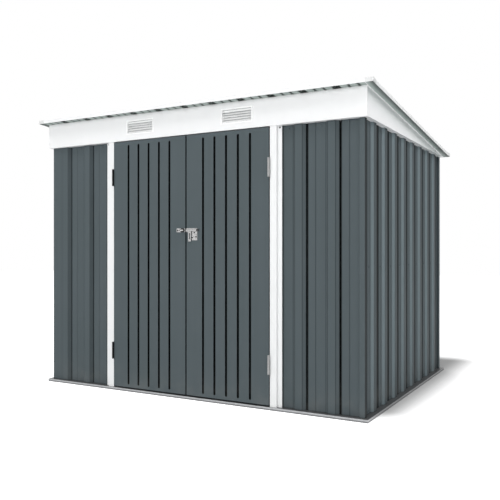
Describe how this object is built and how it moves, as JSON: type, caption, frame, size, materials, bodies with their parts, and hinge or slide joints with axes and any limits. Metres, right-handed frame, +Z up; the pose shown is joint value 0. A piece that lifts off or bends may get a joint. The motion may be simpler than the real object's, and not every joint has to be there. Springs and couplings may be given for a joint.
{
  "type": "metal storage shed",
  "caption": "Pent-roof garden shed of ribbed steel sheet with white trim, louvred vents and hinged double doors closed by a sliding bolt.",
  "frame": {"origin": "on the ground, under the middle of the roof's box", "axes": "+X along the front to the right as seen from outside, +Y from the doors to the rear wall, +Z up"},
  "size_m": [2.45, 1.86, 1.8442],
  "materials": {
    "panel_paint": "satin slate grey coil coat on steel sheet",
    "roof_paint": "satin grey-green coil coat on steel sheet",
    "white_paint": "satin white coil coat on steel sheet",
    "zinc": "galvanised",
    "latch_steel": "bright zinc plate",
    "cap_plastic": "pale grey moulded plastic"
  },
  "bodies": {
    "shed": {"front_left_wall": "panel_paint", "front_right_wall": "panel_paint", "left_wall": "panel_paint", "right_wall": "panel_paint", "rear_wall": "panel_paint", "front_left_corner_post": "panel_paint", "front_right_corner_post": "panel_paint", "rear_left_corner_post": "panel_paint", "rear_right_corner_post": "panel_paint", "left_roof_panel": "roof_paint", "middle_roof_panel": "roof_paint", "right_roof_panel": "roof_paint", "left_door_post": "white_paint", "right_door_post": "white_paint", "front_fascia": "white_paint", "left_gable": "white_paint", "right_gable": "white_paint", "left_vent": "white_paint", "right_vent": "white_paint", "roof_front_trim": "white_paint", "roof_rear_trim": "white_paint", "roof_left_trim": "white_paint", "roof_right_trim": "white_paint", "front_base_rail": "zinc", "rear_base_rail": "zinc", "left_base_rail": "zinc", "right_base_rail": "zinc", "front_top_rail": "zinc", "rear_top_rail": "zinc", "rear_wall_rail": "zinc", "left_wall_rail": "zinc", "right_wall_rail": "zinc", "roof_beam": "zinc", "left_hinge_post_leaves": "latch_steel", "right_hinge_post_leaves": "latch_steel", "roof_corner_caps": "cap_plastic"},
    "left_leaf": {"left_door": "panel_paint", "left_door_braces": "zinc", "left_hinge_door_leaves": "latch_steel", "latch_keeper": "latch_steel"},
    "right_leaf": {"right_door": "panel_paint", "right_door_braces": "zinc", "right_hinge_door_leaves": "latch_steel", "latch_plate": "latch_steel"},
    "bolt": {"latch_bolt": "latch_steel"}
  },
  "joints": [
    {"name": "left_door_hinge", "type": "hinge", "parent": "shed", "child": "left_leaf", "pos_m": [-0.5825, -0.88682, 0.838], "axis": [0, 0, -1], "range_deg": [0, 110]},
    {"name": "right_door_hinge", "type": "hinge", "parent": "shed", "child": "right_leaf", "pos_m": [0.5825, -0.88682, 0.838], "axis": [0, 0, 1], "range_deg": [0, 110]},
    {"name": "bolt_slide", "type": "slide", "parent": "right_leaf", "child": "bolt", "axis": [-1, 0, 0], "range_m": [0, 0.028]}
  ]
}
